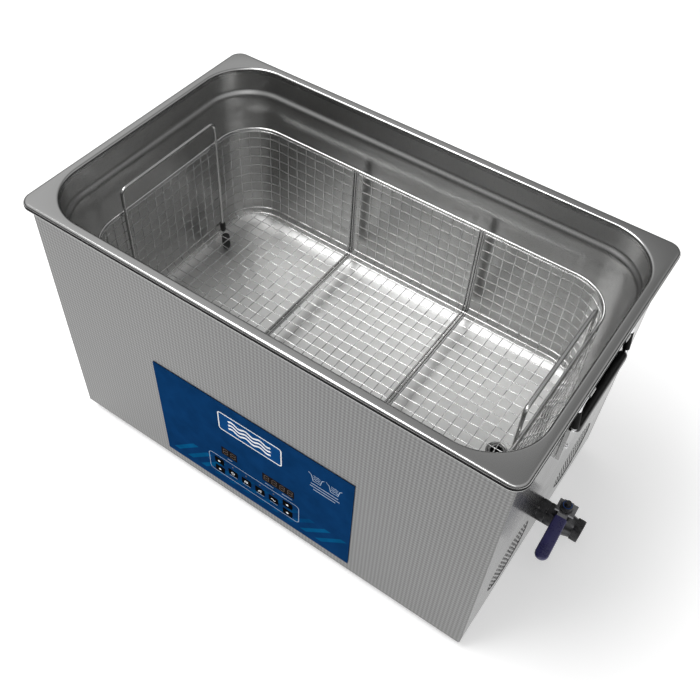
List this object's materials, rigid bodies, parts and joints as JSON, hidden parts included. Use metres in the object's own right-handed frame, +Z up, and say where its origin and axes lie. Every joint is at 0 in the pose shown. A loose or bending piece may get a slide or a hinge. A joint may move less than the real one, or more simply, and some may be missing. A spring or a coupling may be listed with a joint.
{
  "type": "ultrasonic cleaner",
  "caption": "Bench ultrasonic cleaner: stainless tank with lift-out wire basket, keypad, drain valve and fold-down carrying handles.",
  "frame": {"origin": "centre of the bounding box's bottom face, on the surface it stands on", "axes": "+Z up; +X to the right of a person facing the keypad, where the drain valve is; -Y towards that person"},
  "size_m": [0.5764, 0.325, 0.3255],
  "materials": {
    "stainless": "brushed",
    "textured_stainless": "embossed with a fine linen texture",
    "chrome": "polished",
    "dark_nickel": "dark nickel plated brass",
    "aluminium": "cast and turned",
    "blue_film": "printed film, satin",
    "black_plastic": "moulded",
    "black_rubber": "moulded",
    "blue_vinyl": "dipped vinyl",
    "smoked_lens": "smoked",
    "circuit_board": "solder mask",
    "heater_foil": "polyimide film"
  },
  "bodies": {
    "body": {"tank": "stainless", "rim_seal": "black_rubber", "casing_front": "textured_stainless", "casing_back": "textured_stainless", "casing_left": "stainless", "casing_right": "stainless", "casing_base": "stainless", "control_overlay": "blue_film", "control_board": "circuit_board", "display_timer": "smoked_lens", "display_temp": "smoked_lens", "heater_front": "heater_foil", "heater_back": "heater_foil", "thermostat": "aluminium", "heat_sink": "aluminium", "generator_board": "circuit_board", "fan_frame": "black_plastic", "power_inlet": "black_plastic", "drain_pipe": "stainless", "drain_nut": "dark_nickel", "valve_body": "dark_nickel", "handle_plate_left": "stainless", "foot_front_left": "black_rubber", "foot_back_left": "black_rubber", "handle_plate_right": "stainless", "foot_front_right": "black_rubber", "foot_back_right": "black_rubber", "transducer_1": "aluminium", "transducer_2": "aluminium", "transducer_3": "aluminium", "transducer_4": "aluminium", "transducer_5": "aluminium", "transducer_6": "aluminium", "transducer_7": "aluminium", "transducer_8": "aluminium"},
    "key_timer_up": {"key_timer_up": "black_plastic"},
    "key_timer_down": {"key_timer_down": "black_plastic"},
    "key_power": {"key_power": "black_plastic"},
    "key_pulse": {"key_pulse": "black_plastic"},
    "key_degas": {"key_degas": "black_plastic"},
    "key_heat": {"key_heat": "black_plastic"},
    "key_temp_up": {"key_temp_up": "black_plastic"},
    "key_temp_down": {"key_temp_down": "black_plastic"},
    "rocker": {"rocker_switch": "black_plastic"},
    "fan": {"fan_rotor": "black_plastic"},
    "drain_lever": {"valve_stem": "dark_nickel", "valve_lever": "chrome", "stem_nut": "dark_nickel", "lever_sleeve": "blue_vinyl"},
    "basket": {"basket_tray": "stainless", "basket_handle_left": "stainless", "basket_handle_right": "stainless", "basket_foot_front_left": "black_rubber", "basket_foot_back_left": "black_rubber", "basket_foot_front_right": "black_rubber", "basket_foot_back_right": "black_rubber"},
    "handle_left": {"handle_bail_left": "chrome", "handle_grip_left": "black_rubber"},
    "handle_right": {"handle_bail_right": "chrome", "handle_grip_right": "black_rubber"}
  },
  "joints": [
    {"name": "key_timer_up_press", "type": "slide", "parent": "body", "child": "key_timer_up", "axis": [0, 1, 0], "range_m": [0, 0.0005], "stiffness_N_per_m": 1500, "springref_m": -0.0006},
    {"name": "key_timer_down_press", "type": "slide", "parent": "body", "child": "key_timer_down", "axis": [0, 1, 0], "range_m": [0, 0.0005], "stiffness_N_per_m": 1500, "springref_m": -0.0006},
    {"name": "key_power_press", "type": "slide", "parent": "body", "child": "key_power", "axis": [0, 1, 0], "range_m": [0, 0.0005], "stiffness_N_per_m": 1500, "springref_m": -0.0006},
    {"name": "key_pulse_press", "type": "slide", "parent": "body", "child": "key_pulse", "axis": [0, 1, 0], "range_m": [0, 0.0005], "stiffness_N_per_m": 1500, "springref_m": -0.0006},
    {"name": "key_degas_press", "type": "slide", "parent": "body", "child": "key_degas", "axis": [0, 1, 0], "range_m": [0, 0.0005], "stiffness_N_per_m": 1500, "springref_m": -0.0006},
    {"name": "key_heat_press", "type": "slide", "parent": "body", "child": "key_heat", "axis": [0, 1, 0], "range_m": [0, 0.0005], "stiffness_N_per_m": 1500, "springref_m": -0.0006},
    {"name": "key_temp_up_press", "type": "slide", "parent": "body", "child": "key_temp_up", "axis": [0, 1, 0], "range_m": [0, 0.0005], "stiffness_N_per_m": 1500, "springref_m": -0.0006},
    {"name": "key_temp_down_press", "type": "slide", "parent": "body", "child": "key_temp_down", "axis": [0, 1, 0], "range_m": [0, 0.0005], "stiffness_N_per_m": 1500, "springref_m": -0.0006},
    {"name": "rocker_tip", "type": "hinge", "parent": "body", "child": "rocker", "pos_m": [0.13185, 0.1549, 0.059], "axis": [-1, 0, 0], "range_deg": [0, 8]},
    {"name": "fan_spin", "type": "hinge", "parent": "body", "child": "fan", "pos_m": [0.22415, 0.074, 0.0775], "axis": [1, 0, 0], "continuous": true},
    {"name": "drain_lever_turn", "type": "hinge", "parent": "body", "child": "drain_lever", "pos_m": [0.26435, 0, 0.0675], "axis": [0, 0, 1], "range_deg": [-2.5, 87.5]},
    {"name": "basket_lift", "type": "slide", "parent": "body", "child": "basket", "axis": [0, 0, 1], "range_m": [0, 0.25]},
    {"name": "handle_left_lift", "type": "hinge", "parent": "body", "child": "handle_left", "pos_m": [-0.28035, 0, 0.313], "axis": [0, 1, 0], "range_deg": [0, 90]},
    {"name": "handle_right_lift", "type": "hinge", "parent": "body", "child": "handle_right", "pos_m": [0.24405, 0, 0.313], "axis": [0, -1, 0], "range_deg": [0, 90]}
  ]
}
